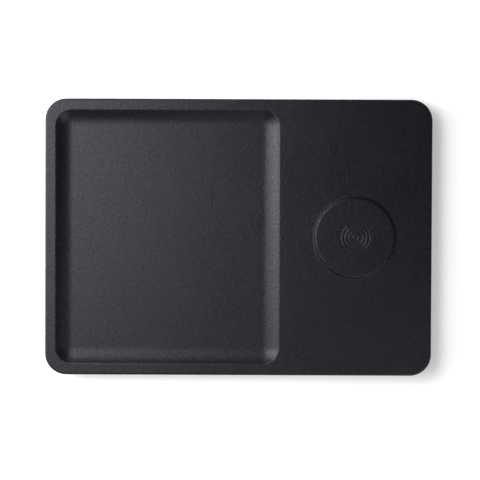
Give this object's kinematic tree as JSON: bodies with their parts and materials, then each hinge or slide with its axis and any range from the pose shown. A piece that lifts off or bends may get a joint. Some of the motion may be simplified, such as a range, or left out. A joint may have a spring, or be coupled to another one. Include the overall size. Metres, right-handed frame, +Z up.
{
  "type": "wireless charging tray",
  "caption": "Leather-wrapped rectangular desk tray with a coved catch-all recess and a flat wireless charging zone marked by a debossed ring.",
  "frame": {"origin": "under the middle of the tray, on the plane that its feet stand on", "axes": "+Z up, +X along the tray's length from the catch-all recess to the charging zone, +Y to the rear edge with the power inlet"},
  "size_m": [0.28, 0.2, 0.017],
  "materials": {
    "black_leather": "fine-grained matt black leather",
    "fibreboard": "raw medium-density fibreboard",
    "base_plastic": "fine moulded texture, black",
    "liner_fabric": "short-napped microfibre, black",
    "foot_rubber": "matt black rubber",
    "screw_steel": "blackened and plain steel screws",
    "housing_plastic": "dark moulded plastic with a fine texture",
    "copper_wire": "enamelled stranded copper",
    "adhesive_film": "double-sided tape",
    "ferrite": "dull grey-black sintered ferrite",
    "sensor_epoxy": "dark glossy epoxy bead",
    "circuit_board": "green solder mask",
    "chip_epoxy": "black moulded epoxy",
    "capacitor_ceramic": "tan ceramic",
    "inductor_body": "dark grey pressed powder",
    "thermal_pad": "soft grey-blue silicone",
    "aluminium_sheet": "plain rolled sheet",
    "inlet_steel": "drawn and nickel-plated",
    "contact_gold": "gold-plated",
    "bezel_plastic": "satin black",
    "lamp_epoxy": "white package",
    "clear_plastic": "frosted clear"
  },
  "bodies": {
    "root": {"leather_cover": "black_leather", "tray_core": "fibreboard", "base_cover": "base_plastic", "base_liner": "liner_fabric", "base_screws": "screw_steel", "foot_front_left": "foot_rubber", "foot_front_right": "foot_rubber", "foot_rear_left": "foot_rubber", "foot_rear_right": "foot_rubber", "module_housing": "housing_plastic", "module_lid": "housing_plastic", "module_screws": "screw_steel", "lid_screws": "screw_steel", "board_screws": "screw_steel", "coil_winding": "copper_wire", "coil_lead_outer": "copper_wire", "coil_lead_inner": "copper_wire", "coil_adhesive": "adhesive_film", "ferrite_plate": "ferrite", "thermistor": "sensor_epoxy", "main_board": "circuit_board", "controller_chip": "chip_epoxy", "bridge_mosfets": "chip_epoxy", "resonant_capacitors": "capacitor_ceramic", "input_capacitors": "capacitor_ceramic", "buck_inductor": "inductor_body", "small_passives": "capacitor_ceramic", "thermal_pad": "thermal_pad", "heat_spreader": "aluminium_sheet", "inlet_shell": "inlet_steel", "inlet_tongue": "bezel_plastic", "inlet_contacts": "contact_gold", "port_bezel": "bezel_plastic", "status_lamp": "lamp_epoxy", "light_pipe": "clear_plastic"}
  },
  "joints": []
}
